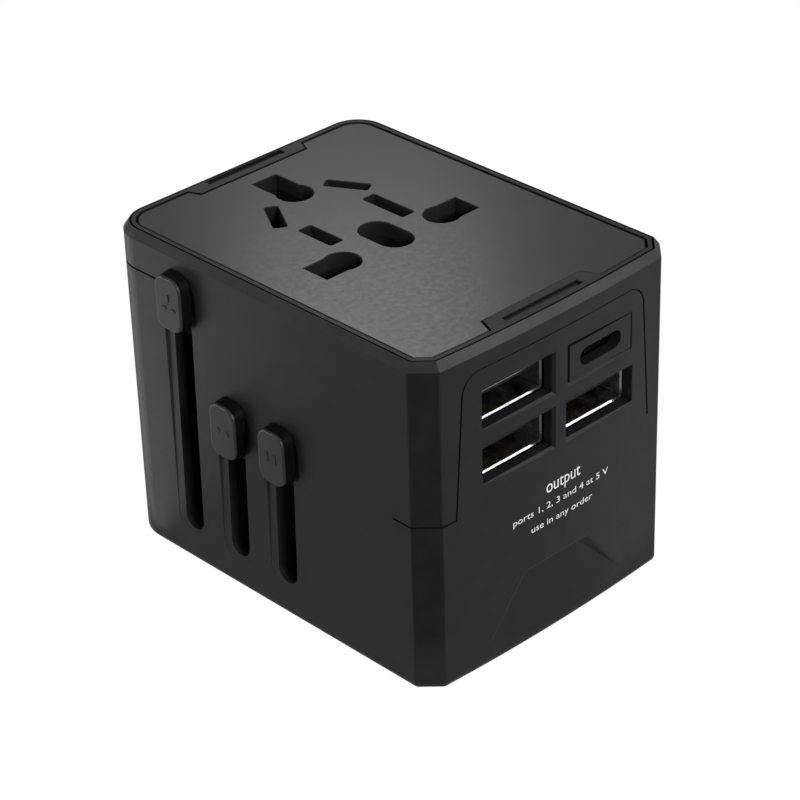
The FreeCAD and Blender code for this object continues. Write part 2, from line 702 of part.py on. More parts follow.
def socket_deck():
    """Moulded deck under the plate, with four screw bosses below it."""
    deck = body_prism(LEDGE_INSET + GAP, DECK_BOTTOM, SEAT_Z)
    bosses = [upright(x, y, POST_R, SEAM_Z, DECK_BOTTOM) for x, y in post_places()]
    cutters = socket_holes(0.15, DECK_BOTTOM - 1, SEAT_Z + 1)
    shank_top = HEAD_SEAT_Z + SCREW_LONG
    cutters += [upright(x, y, SCREW_SHANK_R, SEAM_Z - 1, shank_top) for x, y in post_places()]
    cutters += lamp_blocks(0.1)
    stop_y = shutter_front_y() - SHUTTER_STROKE - SPRING_SOLID
    stop = box(SOCKET_X - 6.5, SOCKET_X + 6.5, stop_y - 0.8, stop_y, SHUTTER_TOP - 1.6, DECK_BOTTOM)
    return fuse([deck, stop] + bosses).cut(cutters)


def shutter_front_y():
    """Front edge of the shutter at rest, where its springs press."""
    return LIVE_Y - EU_HOLE_R - 0.3 - SHUTTER_BRIDGE


def lamp_blocks(grow):
    """Two indicator lamps, let into the deck under the front strip."""
    y = -FACE_Y + LEDGE_INSET + 1.2
    return [
        box(x - 1.0 - grow, x + 1.0 + grow, y - 0.6 - grow, y + 0.6 + grow, SEAT_Z - 0.8, SEAT_Z)
        for x in (-WINDOW_HALF / 2, WINDOW_HALF / 2)
    ]


# ============================================================ ports
def port_shell(x, z):
    """Folded metal shell of one large USB port, with its four spring tabs."""
    width, height = PORT_SHELL
    y0 = -FACE_Y + PORT_RECESS
    y1 = y0 + PORT_DEPTH
    inner = (width - 2 * PORT_METAL, height - 2 * PORT_METAL)
    tube = rounded_front_box(x, z, width, height, 2 * PORT_METAL, y0, y1)
    tube = tube.cut(rounded_front_box(x, z, inner[0], inner[1], PORT_METAL, y0 - 1, y1 + 1))
    mouth = Part.makeWedge(
        -inner[0] / 2 - PORT_LIP, 0, -inner[1] / 2 - PORT_LIP, -inner[1] / 2, -inner[0] / 2,
        inner[0] / 2 + PORT_LIP, PORT_LIP, inner[1] / 2 + PORT_LIP, inner[1] / 2, inner[0] / 2,
    )
    mouth.translate(V(x, y0, z))
    pieces = [tube.cut(mouth)]
    tab_wide, tab_long, tilt = SPRING_TAB
    for side in (-1, 1):
        for level in (-1, 1):
            tab = box(-tab_wide / 2, tab_wide / 2, 0, tab_long, -PORT_METAL / 2, PORT_METAL / 2)
            tab.rotate(V(0, 0, 0), V(1, 0, 0), -level * tilt)
            tab.translate(V(x + side * width / 4, y0 + SPRING_START, z + level * (height - PORT_METAL) / 2))
            pieces.append(tab)
    tip_y = y1 - TONGUE_SIZE[2] - TONGUE_BLOCK
    half = TONGUE_SIZE[0] / 2
    tip_z = z + TONGUE_TOP
    tip = box(x - half, x + half, tip_y - TONGUE_TIP, tip_y, tip_z - TIP_BAND, tip_z)
    return group([fuse(pieces), tip])


def port_places():
    """Centres of the three large ports."""
    return {
        "usb_a_shell_upper_left": (PORT_COLUMNS[0], PORT_ROWS[1]),
        "usb_a_shell_lower_left": (PORT_COLUMNS[0], PORT_ROWS[0]),
        "usb_a_shell_lower_right": (PORT_COLUMNS[1], PORT_ROWS[0]),
    }


def port_tongues():
    """Plastic tongue and back block inside each large port."""
    pieces = []
    width, thick, long = TONGUE_SIZE
    back = -FACE_Y + PORT_RECESS + PORT_DEPTH
    for x, z in port_places().values():
        top = z + TONGUE_TOP
        y0 = back - long - TONGUE_BLOCK
        tongue = box(x - width / 2, x + width / 2, y0, back - 3.0, top - thick, top)
        half_x = PORT_SHELL[0] / 2 - PORT_METAL - 0.15
        half_z = PORT_SHELL[1] / 2 - PORT_METAL - 0.15
        block = box(x - half_x, x + half_x, back - TONGUE_BLOCK, back, z - half_z, z + half_z)
        pieces.append(fuse([tongue, block]))
    return group(pieces)


def port_contacts():
    """Four gold contacts under each tongue."""
    pieces = []
    long = TONGUE_SIZE[2]
    back = -FACE_Y + PORT_RECESS + PORT_DEPTH
    for x, z in port_places().values():
        top = z + TONGUE_TOP - TONGUE_SIZE[1]
        for offset in (-3.5, -1.0, 1.0, 3.5):
            y0 = back - long - 3.0
            pieces.append(box(x + offset - 0.5, x + offset + 0.5, y0, y0 + 7.0, top - 0.15, top))
    return group(pieces)


def c_outline(grow, y0, y1):
    """Round-ended bar along Y with the small port's section."""
    x, z = PORT_COLUMNS[1], PORT_ROWS[1]
    height = C_SLOT[1] + 2 * grow
    return rounded_front_box(x, z, C_SLOT[0] + 2 * grow, height, height / 2 - 0.01, y0, y1)


def c_port():
    """Small port: the framing plate, its metal shell and its tongue."""
    x, z = PORT_COLUMNS[1], PORT_ROWS[1]
    half_x, half_z = INSERT_SIZE[0] / 2 - 0.15, INSERT_SIZE[1] / 2 - 0.15
    block = box(x - half_x, x + half_x, -BODY_Y, 0, z - half_z, z + half_z)
    skin = body_prism(0.1, 0, BODY_Z).cut(body_prism(WALL, -1, BODY_Z + 1))
    mouth = -FACE_Y + FRONT_BOW + WALL + GAP
    insert = block.common(skin).cut(c_outline(GAP / 2, -BODY_Y, 0))
    back = -FACE_Y + PORT_RECESS + PORT_DEPTH
    shell = c_outline(C_METAL, mouth, mouth + C_DEPTH)
    shell = shell.cut(c_outline(0, mouth - 1, mouth + C_DEPTH - 0.8))
    bracket = box(x - 4.0, x + 4.0, mouth + C_DEPTH, back, z - 1.4, z + 0.6)
    shell = fuse([shell, bracket])
    tongue = box(x - 3.35, x + 3.35, mouth + 1.2, mouth + C_DEPTH - 0.8, z - 0.35, z + 0.35)
    return insert, shell, tongue


# ============================================================ electronics
def usb_board():
    """Charger board behind the ports."""
    half = FACE_X - WALL - 1.4
    return box(-half, half, BOARD_Y, BOARD_Y + BOARD_THICK, FLOOR + 3, DECK_BOTTOM - 3)


def transformer():
    """Laminated core and wound bobbin on the board's lower half."""
    x, z = SOCKET_X - 5, 14.0
    y1 = BOARD_Y
    outer = box(x - 7.5, x + 7.5, y1 - 10.5, y1 - 3.5, z - 7, z + 7)
    bobbin = fuse([
        box(x - 4.9, x + 4.9, y1 - 11.5, y1, z - 4.5, z + 4.5),
        box(x - 6.5, x + 6.5, y1 - 1.5, y1, z - 6.5, z + 6.5),
    ])
    core = outer.cut(bobbin)
    return core, bobbin


def capacitors():
    """Two tall capacitors on the board."""
    x = PORT_COLUMNS[1]
    return group([along_y(x, z, 3.8, BOARD_Y - 11.5, BOARD_Y) for z in (11.0, 20.0)])


def board_chips():
    """Controller chips and small parts on the board's rear face."""
    y0 = BOARD_Y + BOARD_THICK
    places = [(-12, 12, 5, 6), (-2, 12, 7, 4), (8, 15, 5, 5), (-9, 30, 6, 4), (7, 33, 4, 5), (14, 24, 3, 3)]
    return group([
        box(x - w / 2, x + w / 2, y0, y0 + 0.45, z - h / 2, z + h / 2) for x, z, w, h in places
    ])


def inner_partition():
    """Wall between the charger and the pins."""
    half = FACE_X - WALL - GAP
    y0 = BOARD_Y + BOARD_THICK + 0.8
    return box(-half, half, y0, y0 + PARTITION_THICK, FLOOR, DECK_BOTTOM - 3.5)


# ============================================================ contacts
def mirror_x(points, side):
    """Points measured from the socket's centre line, put on one side of it."""
    return [(SOCKET_X + side * x, y) for x, y in points]


def live_contact(side):
    """Bent brass strip that serves one live pole of every socket: a fork at
    the large hole, one leaf at the straight slot and one at the tilted slot."""
    z0, z1 = CONTACT_Z
    blade_out = US_PITCH / 2 + US_SLOT_WIDE / 2 + LEAF / 2 + GAP
    low_y = LIVE_Y - LIVE_TALL / 2 - 0.7
    high_y = LIVE_Y + LIVE_TALL / 2 + 0.7
    outer = LIVE_OUT + 0.2 + LEAF / 2
    fork_path = [(blade_out, low_y), (outer, low_y), (outer, high_y), (blade_out, high_y)]
    fork = strip(mirror_x(fork_path, side), z0, z1)
    tilt = math.radians(AU_TILT)
    along = (-math.sin(tilt), math.cos(tilt))
    centre_x = AU_HALF_PITCH + (AU_WIDE / 2 + 0.4) * math.cos(tilt)
    centre_y = AU_Y + (AU_WIDE / 2 + 0.4) * math.sin(tilt)
    reach = AU_LONG / 2 + 0.2
    low_end = (centre_x - reach * along[0], centre_y - reach * along[1])
    high_end = (centre_x + reach * along[0], centre_y + reach * along[1])
    spine_path = [(blade_out, high_y), (blade_out, US_LONG[1] + 0.4), low_end, high_end]
    spine = strip(mirror_x(spine_path, side), z0, z1)
    return fuse([fork, spine])


def earth_contact():
    """Straight brass leaf beside the two earth holes."""
    x = SOCKET_X - GROUND_SIZE[0] / 2 - 0.3 - LEAF / 2
    half_y = GROUND_SIZE[1] / 2
    return strip([(x, GROUND_Y - half_y), (x, UK_EARTH_TOP_Y - 0.4)], *CONTACT_Z)


def bus_bar(side):
    """Upright brass bar that the sliding pins' wipers run along."""
    z1 = CONTACT_Z[0]
    if side < 0:
        x = BUS_LEFT
        y0, y1 = KNOB_YS["us"] + NECK_HALF_Y + 0.5, KNOB_YS["eu"] - NECK_HALF_Y - 0.5
    else:
        x = BUS_RIGHT
        y0, y1 = KNOB_YS["us"] - NECK_HALF_Y, KNOB_YS["eu"]
    bar = box(x - LEAF / 2, x + LEAF / 2, y0, y1, BUS_Z0, z1)
    outer = SOCKET_X + side * (LIVE_OUT + 0.2 + LEAF)
    low, high = sorted((x - side * LEAF / 2, outer))
    foot_y0 = max(y0, LIVE_Y - LIVE_TALL / 2)
    foot_y1 = min(y1, LIVE_Y + LIVE_TALL / 2)
    if abs(x - outer) < LEAF:
        low, high = sorted((x - LEAF / 2, outer - LEAF))
    foot = box(low - 0.01, high + 0.01, foot_y0, foot_y1, z1 - LEAF, z1)
    return fuse([bar, foot])


def fuse_place():
    """Axis and ends of the spare-type fuse beside the socket contacts."""
    x = -FACE_X + WALL + FUSE_R + 0.4
    z = (CONTACT_Z[0] + CONTACT_Z[1]) / 2
    y1 = KNOB_YS["uk"] - NECK_HALF_Y - 1.5
    return x, z, y1 - FUSE_LONG, y1


def fuse_parts():
    """Ceramic body, two end caps and two spring clips of the fuse."""
    x, z, y0, y1 = fuse_place()
    body = along_y(x, z, FUSE_R - 0.25, y0 + FUSE_CAP, y1 - FUSE_CAP)
    caps = group([along_y(x, z, FUSE_R, y0, y0 + FUSE_CAP), along_y(x, z, FUSE_R, y1 - FUSE_CAP, y1)])
    clips = []
    for middle in (y0 + FUSE_CAP / 2, y1 - FUSE_CAP / 2):
        ring = along_y(x, z, FUSE_R + 0.35, middle - 1.5, middle + 1.5)
        stem = box(x - 0.6, x + 0.6, middle - 1.5, middle + 1.5, z, DECK_BOTTOM)
        hole = along_y(x, z, FUSE_R, middle - 2, middle + 2)
        mouth = box(x - 1.6, x + 1.6, middle - 2, middle + 2, z - FUSE_R - 1, z)
        clips.append(fuse([ring, stem]).cut([hole, mouth]))
    return body, caps, group(clips)


# ============================================================ shutter
def safety_shutter():
    """Sliding shutter that closes the two live holes under the deck."""
    z0 = SHUTTER_TOP - SHUTTER_THICK
    front_y = shutter_front_y()
    low_y = front_y + SHUTTER_BRIDGE
    high_y = LIVE_Y + LIVE_TALL / 2 + 0.5
    half = LIVE_OUT + 0.3
    pads = []
    for side in (-1, 1):
        inner = SOCKET_X + side * (EU_HALF_PITCH - EU_HOLE_R - 0.2)
        x0, x1 = sorted((inner, SOCKET_X + side * half))
        profile = [
            V(x0, high_y, z0),
            V(x0, high_y, SHUTTER_TOP - 1.6),
            V(x0, low_y + 2, SHUTTER_TOP),
            V(x0, front_y, SHUTTER_TOP),
            V(x0, front_y, z0),
        ]
        wire = Part.makePolygon(profile + [profile[0]])
        pads.append(Part.Face(wire).extrude(V(x1 - x0, 0, 0)))
    bridge = box(SOCKET_X - half, SOCKET_X + half, front_y, low_y - 1.2, z0, SHUTTER_TOP)
    return fuse(pads + [bridge])


def shutter_springs():
    """Two light coil springs that push the shutter shut."""
    y1 = shutter_front_y()
    y0 = y1 - SHUTTER_STROKE - SPRING_SOLID
    z = SHUTTER_TOP - SHUTTER_THICK / 2
    springs = []
    for side in (-1, 1):
        tube = along_y(SOCKET_X + side * 5.0, z, 0.95, y0, y1)
        springs.append(tube.cut(along_y(SOCKET_X + side * 5.0, z, 0.55, y0 - 1, y1 + 1)))
    return group(springs)


# ============================================================ sliders
def cap_mark(name, x, y, z):
    """Small raised picture of a plug's pins, as seen end on."""
    marks = {
        "uk": [(0, 0.9, 0.5, 1.2), (-0.95, -0.7, 1.0, 0.5), (0.95, -0.7, 1.0, 0.5)],
        "eu": [(-0.95, 0, 0.8, 0.8), (0.95, 0, 0.8, 0.8)],
        "us": [(-0.8, 0, 0.5, 1.6), (0.8, 0, 0.5, 1.6)],
    }
    pieces = []
    for across, up, wide, tall in marks[name]:
        centre_y, centre_z = y + across, z + up
        radius = min(wide, tall) / 2 - 0.01
        rings = [
            rounded_outline(x - MARK_RAISE, centre_y, centre_z, (wide, tall), radius),
            rounded_outline(x + MARK_RAISE, centre_y, centre_z, (wide, tall), radius),
        ]
        pieces.append(Part.makeLoft(rings, True, True))
    return pieces


def knob(name):
    """Knob with its neck through the slot, and the cap on its face."""
    y, z = KNOB_YS[name], knob_rest_z(name)
    foot_x = -FACE_X - GAP
    face_x = -FACE_X - KNOB_OUT
    rings = [
        rounded_outline(face_x, y, z, KNOB_FACE, KNOB_FACE_CORNER),
        rounded_outline(foot_x, y, z, KNOB_SIZE, KNOB_CORNER),
    ]
    whole = Part.makeLoft(rings, True, True)
    whole = whole.makeFillet(KNOB_EASE, edges_at(whole, lambda p: abs(p.x - face_x) < 1e-4))
    reach = KNOB_SIZE[1]
    slab = box(face_x - 1, face_x + KNOB_CAP, y - reach, y + reach, z - reach, z + reach)
    cap = fuse([whole.common(slab)] + cap_mark(name, face_x, y, z))
    inner = -FACE_X + WALL + SLIDING
    neck = side_slot(y, z - NECK_HALF_Z, z + NECK_HALF_Z, 2 * NECK_HALF_Y, foot_x - GAP, inner)
    return fuse([whole.cut(slab), neck]), cap


def arm_box(name, x1, z0, z1):
    """Arm of a carriage behind its knob, just inside the wall."""
    y = KNOB_YS[name]
    x0 = -FACE_X + WALL + SLIDING
    return box(x0, x1, y - NECK_HALF_Y, y + NECK_HALF_Y, z0, z1)


def short_carriage_z():
    """Resting bottom and top of the EU and US carriages."""
    z0 = FLOOR + FLOOR_CLEAR + 0.2 + SHORT_STROKE
    return z0, z0 + CARRIAGE_TALL


def eu_slider():
    """Carriage, two round pins, their sleeves and brass wipers."""
    z0, z1 = short_carriage_z()
    y0, y1 = US_PINS_Y + 4.4, EU_PINS_Y + 3.6
    bar = box(CARRIAGE_LEFT, CARRIAGE_RIGHT, y0, y1, z0, z1)
    arm = arm_box("eu", CARRIAGE_LEFT + 1, z0, knob_rest_z("eu") + NECK_HALF_Z)
    pins, sleeves = [], []
    places = [(SOCKET_X + side * EU_HALF_PITCH, EU_PINS_Y) for side in (-1, 1)]
    sleeve_z = z0 - SLEEVE_LONG
    for x, y in places:
        end = upright(x, y, EU_PIN_R, PIN_INSIDE, sleeve_z)
        rim = edges_at(end, lambda p: abs(p.z - PIN_INSIDE) < 1e-4)
        core = upright(x, y, EU_PIN_R - SLEEVE, sleeve_z, z1 - 1.2)
        pins.append(fuse([end.makeFillet(EU_PIN_R * 0.5, rim), core]))
        tube = upright(x, y, EU_PIN_R, sleeve_z, z0)
        sleeves.append(tube.cut(upright(x, y, EU_PIN_R - SLEEVE, sleeve_z - 1, z0 + 1)))
    bores = [upright(x, y, EU_PIN_R - SLEEVE, z0 - 1, z1 - 1.2) for x, y in places]
    carriage = fuse([bar, arm]).cut(bores)
    tabs = wipers(EU_HALF_PITCH, EU_PINS_Y - 1.2, EU_PINS_Y + 0.8, z1)
    return carriage, group(pins), group(sleeves), tabs


def wipers(inner, y0, y1, z1):
    """Brass tabs on a carriage that reach to the bus bars."""
    left = BUS_LEFT + LEAF / 2 + BUS_CLEAR
    right = BUS_RIGHT - LEAF / 2 - BUS_CLEAR
    left_tab = box(left, SOCKET_X - inner + 2, y0, y1, z1, z1 + 0.4)
    right_tab = box(SOCKET_X + inner - 2, right, y0, y1, z1, z1 + 0.4)
    return group([left_tab, right_tab])


def us_slider():
    """Carriage and wipers, and the two turrets with their flat blades."""
    z0, z1 = short_carriage_z()
    y0, y1 = US_PINS_Y - 3.9, US_PINS_Y + 4.0
    bar = box(CARRIAGE_LEFT, CARRIAGE_RIGHT, y0, y1, z0, z1)
    arm = arm_box("us", CARRIAGE_LEFT + 1, z0, knob_rest_z("us") + NECK_HALF_Z)
    xs = [SOCKET_X + side * US_PITCH / 2 for side in (-1, 1)]
    bores = [upright(x, US_PINS_Y, TURRET_R + RUNNING, z0 - 1, z1 - 1.0) for x in xs]
    carriage = fuse([bar, arm]).cut(bores)
    turrets, blades = [], []
    for x in xs:
        blade = box(
            x - BLADE[0] / 2, x + BLADE[0] / 2, US_PINS_Y - BLADE[1] / 2, US_PINS_Y + BLADE[1] / 2,
            PIN_INSIDE, z0 + 4.0,
        )
        tip = edges_at(blade, lambda p: abs(p.z - PIN_INSIDE) < 1e-4)
        blades.append(blade.makeChamfer(0.5, tip))
        turrets.append(upright(x, US_PINS_Y, TURRET_R, z0, z1 - 1.1).cut(blades[-1]))
    return carriage, turrets, blades, wipers(US_PITCH / 2, y1 - 0.55, y1 - 0.05, z1)


def uk_slider():
    """C-shaped carriage round the socket contacts, two sleeved rectangular
    pins and the long plastic earth pin."""
    z0 = FLOOR + FLOOR_CLEAR + UK_STROKE
    z1 = z0 + UK_CARRIAGE_TALL
    inner_x, inner_y = FACE_X - WALL - 0.4, FACE_Y - WALL - 0.4
    arm_x = -inner_x + 2.7
    strip_y = inner_y - UK_STRIP
    y = KNOB_YS["uk"]
    pieces = [
        arm_box("uk", arm_x, z0, DECK_BOTTOM - 0.2),
        box(-inner_x, arm_x, y - NECK_HALF_Y, inner_y, z0, z1),
        box(-inner_x, inner_x, strip_y, inner_y, z0, z1),
        box(UK_SIDE_IN, inner_x, UK_LIVE_Y - 2.2, inner_y, z0, z1),
        box(SOCKET_X - UK_HALF_PITCH - 3.8, inner_x, UK_LIVE_Y - 2.2, UK_LIVE_Y + 2.2, z0, z1),
        box(SOCKET_X + UK_EARTH[0] / 2 + 0.6, SOCKET_X + UK_EARTH[0] / 2 + 2.4,
            UK_EARTH_Y0 - 3.6, inner_y, z0, z1),
        box(SOCKET_X - UK_EARTH[0] / 2 - 0.3, SOCKET_X + UK_EARTH[0] / 2 + 2.4,
            UK_EARTH_Y0 - 3.8, UK_EARTH_Y0 + 3.8, z0, z1),
    ]
    corner = body_prism(WALL + 0.35, z0 - 1, z1 + 9)
    carriage = fuse(pieces).common(corner)
    names = {-1: "line", 1: "neutral"}
    pins, sleeves, holes = {}, [], []
    for side, name in names.items():
        x = SOCKET_X + side * UK_HALF_PITCH
        tip = z0 - UK_PIN_LONG - FLOOR - FLOOR_CLEAR
        sleeve_z = z0 - SLEEVE_LONG - FLOOR - FLOOR_CLEAR
        full = box(
            x - UK_PIN[0] / 2, x + UK_PIN[0] / 2, UK_LIVE_Y - UK_PIN[1] / 2, UK_LIVE_Y + UK_PIN[1] / 2,
            tip, z0,
        )
        full = full.makeChamfer(0.9, edges_at(full, lambda p: abs(p.z - tip) < 1e-4))
        ring_outer = box(
            x - UK_PIN[0] / 2, x + UK_PIN[0] / 2, UK_LIVE_Y - UK_PIN[1] / 2, UK_LIVE_Y + UK_PIN[1] / 2,
            sleeve_z, z0,
        )
        core = box(
            x - UK_PIN[0] / 2 + SLEEVE, x + UK_PIN[0] / 2 - SLEEVE,
            UK_LIVE_Y - UK_PIN[1] / 2 + SLEEVE, UK_LIVE_Y + UK_PIN[1] / 2 - SLEEVE,
            sleeve_z, z1 - 1.0,
        )
        sleeve = ring_outer.cut(core)
        sleeves.append(sleeve)
        pins[name] = fuse([full.cut(ring_outer), core])
        holes.append(core)
    earth = box(
        SOCKET_X - UK_EARTH[0] / 2, SOCKET_X + UK_EARTH[0] / 2,
        UK_EARTH_Y0 - UK_EARTH[1] / 2, UK_EARTH_Y0 + UK_EARTH[1] / 2,
        z0 - UK_EARTH_LONG - FLOOR - FLOOR_CLEAR, z0,
    )
    low = z0 - UK_EARTH_LONG - FLOOR - FLOOR_CLEAR
    earth = earth.makeChamfer(1.2, edges_at(earth, lambda p: abs(p.z - low) < 1e-4))
    return carriage.cut(holes), pins, group(sleeves), earth


# ============================================================ assembly
def make_parts():
    """Every node of the adapter by name."""
    parts = {}
    parts["lower_shell"], parts["upper_shell"] = casing()
    parts["case_screws"] = case_screws()
    parts["top_bezel"] = top_bezel()
    parts["indicator_window_front"] = indicator_window(-1)
    parts["indicator_window_rear"] = indicator_window(1)
    parts["socket_plate"] = socket_plate()
    parts["socket_deck"] = socket_deck()
    parts["indicator_lamps"] = group(lamp_blocks(0))
    for name, (x, z) in port_places().items():
        parts[name] = port_shell(x, z)
    parts["usb_a_tongues"] = port_tongues()
    parts["usb_a_contacts"] = port_contacts()
    parts["usb_c_insert"], parts["usb_c_shell"], parts["usb_c_tongue"] = c_port()
    parts["usb_board"] = usb_board()
    parts["transformer_core"], parts["transformer_bobbin"] = transformer()
    parts["capacitors"] = capacitors()
    parts["board_chips"] = board_chips()
    parts["inner_partition"] = inner_partition()
    parts["live_contact"] = live_contact(-1)
    parts["neutral_contact"] = live_contact(1)
    parts["earth_contact"] = earth_contact()
    parts["live_bus_bar"] = bus_bar(-1)
    parts["neutral_bus_bar"] = bus_bar(1)
    parts["fuse_body"], parts["fuse_caps"], parts["fuse_clips"] = fuse_parts()
    parts["safety_shutter"] = safety_shutter()
    parts["shutter_springs"] = shutter_springs()
    carriage, pins, sleeves, earth = uk_slider()
    parts["uk_carriage"] = carriage
    parts["uk_line_pin"] = pins["line"]
    parts["uk_neutral_pin"] = pins["neutral"]
    parts["uk_pin_sleeves"] = sleeves
    parts["uk_earth_pin"] = earth
    carriage, pins, sleeves, tabs = eu_slider()
    parts["eu_carriage"] = carriage
    parts["eu_pins"] = pins
    parts["eu_pin_sleeves"] = sleeves
    parts["eu_wipers"] = tabs
    carriage, turrets, blades, tabs = us_slider()
    parts["us_carriage"] = carriage
    parts["us_wipers"] = tabs
    for side, turret, blade in zip(("left", "right"), turrets, blades):
        parts["us_turret_" + side] = turret
        parts["us_blade_" + side] = blade
    for name in KNOB_YS:
        parts[name + "_knob"], parts[name + "_knob_cap"] = knob(name)
    return parts


def main():
    os.makedirs("parts", exist_ok=True)
    for name, shape in make_parts().items():
        shape.exportStep("parts/" + name + ".step")
        print(name, shape.isValid(), len(shape.Solids), round(shape.Volume, 1))
    print("strokes", UK_STROKE, SHORT_STROKE)


main()
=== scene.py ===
"""Looks of the universal travel adapter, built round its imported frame.

Every length is in metres and in the frame's own axes: +Z is the socket face,
-Y the port face and -X the face with the slider knobs.
"""

import json
import logging
import math
from dataclasses import dataclass, field
from enum import Enum
from typing import Sequence

import bpy
import numpy as np
from mathutils import Matrix, Vector


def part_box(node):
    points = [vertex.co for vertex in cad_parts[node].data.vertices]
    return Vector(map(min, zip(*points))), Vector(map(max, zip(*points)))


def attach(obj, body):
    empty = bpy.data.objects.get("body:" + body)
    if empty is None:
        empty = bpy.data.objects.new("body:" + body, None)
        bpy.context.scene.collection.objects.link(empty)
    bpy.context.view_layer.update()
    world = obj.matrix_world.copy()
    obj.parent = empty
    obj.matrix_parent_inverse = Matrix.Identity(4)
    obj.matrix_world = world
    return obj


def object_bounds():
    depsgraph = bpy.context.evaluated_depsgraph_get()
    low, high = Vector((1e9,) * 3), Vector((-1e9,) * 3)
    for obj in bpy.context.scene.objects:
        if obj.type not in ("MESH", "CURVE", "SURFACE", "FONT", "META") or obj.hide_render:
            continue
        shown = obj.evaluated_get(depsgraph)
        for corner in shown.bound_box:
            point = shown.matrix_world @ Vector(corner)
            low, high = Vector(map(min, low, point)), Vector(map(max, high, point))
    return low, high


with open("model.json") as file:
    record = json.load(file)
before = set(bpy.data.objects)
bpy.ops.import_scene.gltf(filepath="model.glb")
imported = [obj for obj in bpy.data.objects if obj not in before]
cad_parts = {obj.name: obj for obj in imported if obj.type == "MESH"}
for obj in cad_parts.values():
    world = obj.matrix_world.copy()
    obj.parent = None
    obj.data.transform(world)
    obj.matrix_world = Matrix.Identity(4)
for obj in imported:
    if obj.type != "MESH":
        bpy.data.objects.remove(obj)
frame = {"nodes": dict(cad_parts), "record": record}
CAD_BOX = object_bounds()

LOG = logging.getLogger("travel_adapter")
MM = 0.001
NODES = frame["nodes"]
BLACK = (0.0, 0.0, 0.0)

# the port face bows back by BOW_DEPTH at BOW_HALF from its middle
BOW_DEPTH = 0.7 * MM
BOW_HALF = 21.35 * MM
FRONT_BOW = BOW_DEPTH / BOW_HALF ** 2
FACE_Y = -31.75 * MM

# how deep the casing's outer skin reaches before a wall counts as inside and gets painted shade
SKIN_DEPTH = 0.5 * MM
SKIN_FADE = 0.3 * MM
CHAMFER_DEPTH = 4.3 * MM
BEZEL_SEAT = 1.5 * MM
HOLLOW_TOP = 15 * MM
HOLLOW_DEPTH = 1.2 * MM
DULL_ROUGHNESS = 0.9

# sizes of the patterns in the moulded plastic
CLOUD_SIZE = 11 * MM
SPECK_SIZE = 0.7 * MM
TINT_SIZE = 4 * MM
CHIP_SIZE = 1.3 * MM
WORN_BAND = 1.6 * MM
INK_THICK = 0.012 * MM


# ------------------------------------------------------------------ helpers
def span(node: str) -> tuple[np.ndarray, np.ndarray]:
    """Lowest and highest corner of a CAD node at rest, as arrays.

    Args:
        node: Name of the CAD node.

    Returns:
        The two corners.
    """
    low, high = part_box(node)
    return np.array(low), np.array(high)


def surface(name: str, grid: np.ndarray) -> bpy.types.Object:
    """A smooth mesh over a grid of points, one quad between each four.

    Args:
        name: Name of the new object.
        grid: Points, shaped (rows, columns, 3). Rows run along u, columns along v.

    Returns:
        The new object.
    """
    rows, columns = grid.shape[:2]
    index = np.arange(rows * columns).reshape(rows, columns)
    quads = np.stack([index[:-1, :-1], index[1:, :-1], index[1:, 1:], index[:-1, 1:]], axis=-1)
    return mesh_object(name, grid.reshape(-1, 3), quads.reshape(-1, 4))


def mesh_object(name: str, points: np.ndarray, faces: np.ndarray) -> bpy.types.Object:
    """A linked mesh object from arrays of points and faces.

    Args:
        name: Name of the new object.
        points: Vertices, shaped (count, 3).
        faces: Vertex numbers of each face, one row per face.

    Returns:
        The new object, shaded smooth.
    """
    mesh = bpy.data.meshes.new(name)
    mesh.from_pydata(points.tolist(), [], faces.tolist())
    mesh.update()
    mesh.polygons.foreach_set("use_smooth", np.ones(len(mesh.polygons), dtype=bool))
    piece = bpy.data.objects.new(name, mesh)
    bpy.context.scene.collection.objects.link(piece)
    return piece


# ---------------------------------------------------------------- materials
class Operation(Enum):
    """The small sums that the finishes are worked out with."""

    ADD = "ADD"
    SUBTRACT = "SUBTRACT"
    MULTIPLY = "MULTIPLY"
    MAXIMUM = "MAXIMUM"
    ABSOLUTE = "ABSOLUTE"


